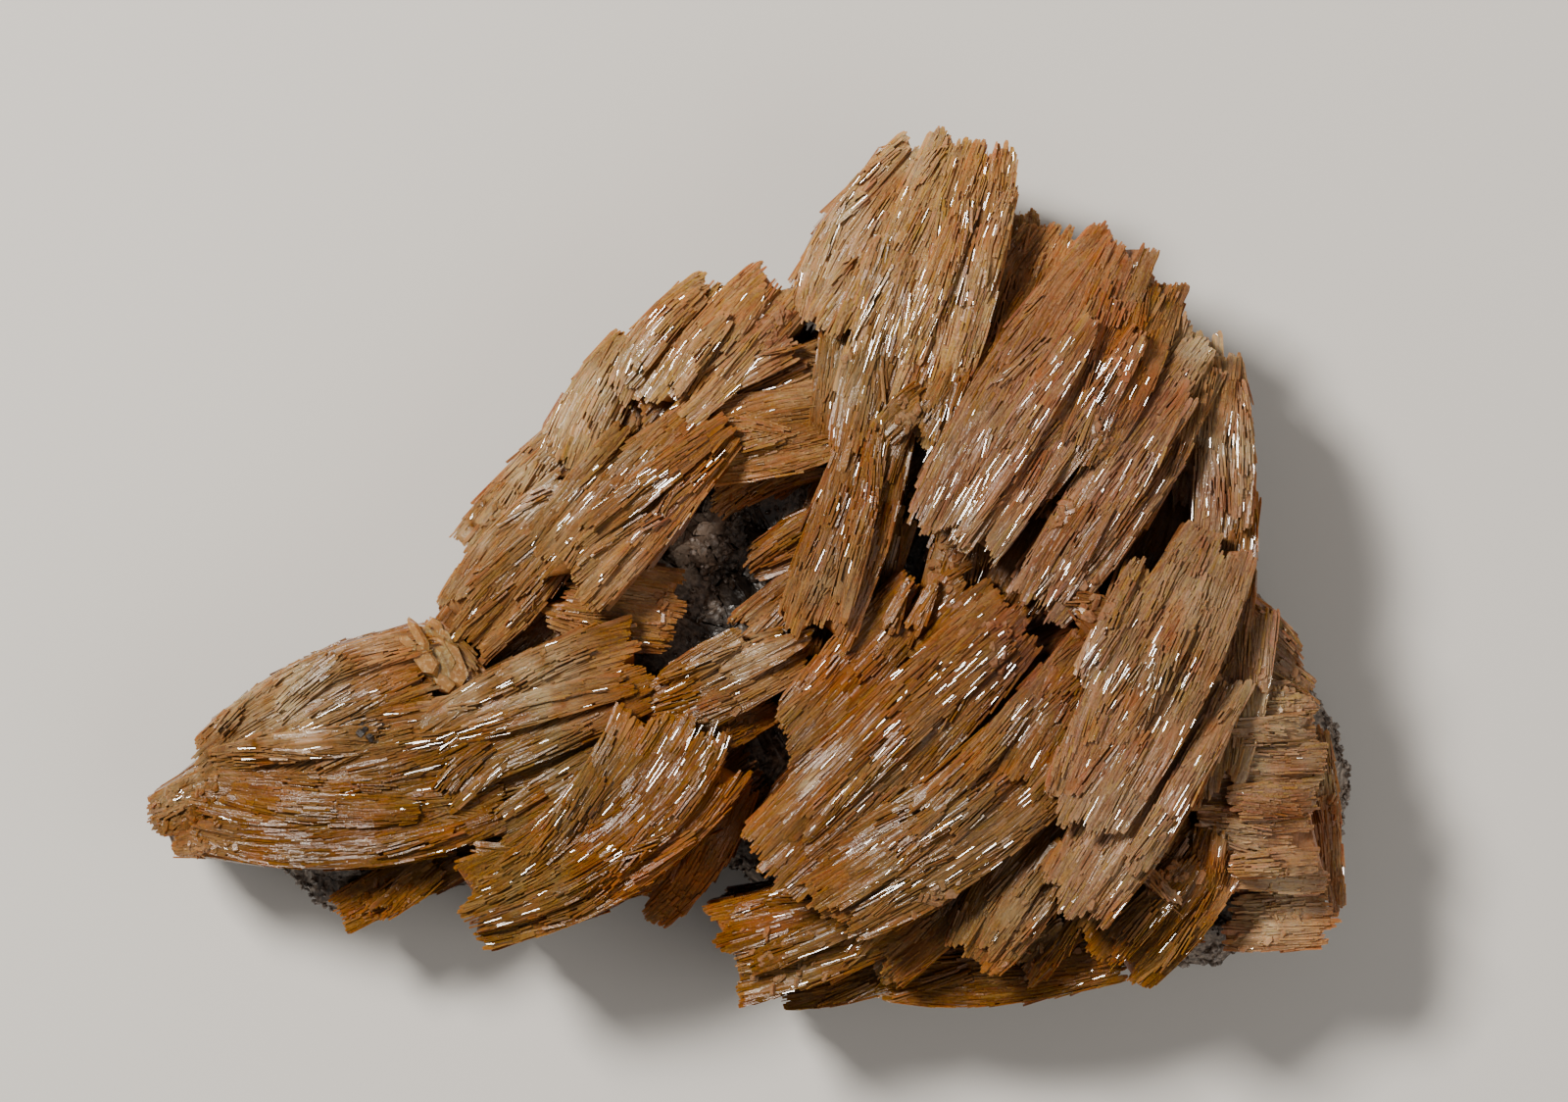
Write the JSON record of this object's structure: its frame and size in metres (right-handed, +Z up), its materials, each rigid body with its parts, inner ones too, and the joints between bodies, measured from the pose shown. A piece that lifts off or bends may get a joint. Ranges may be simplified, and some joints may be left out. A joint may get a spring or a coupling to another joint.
{
  "type": "barite mineral specimen",
  "caption": "Crust of honey-brown fibrous barite grown as overlapping comb-edged sheaves on dark host rock, lying on the rock's flat back.",
  "frame": {"origin": "on the flat back of the rock that the specimen rests on, near the middle of its length", "axes": "+X along the length, from the thin wing to the broad end; +Y across it, towards the crown; +Z up from the resting face through the crust"},
  "size_m": [0.1249, 0.0907, 0.0396],
  "materials": {
    "host_rock": "rough, granular broken faces with fine glints",
    "barite": "pearly to glassy striated plates, translucent at thin edges"
  },
  "bodies": {
    "root": {"host_rock": "host_rock", "barite_crust": "barite"}
  },
  "joints": []
}
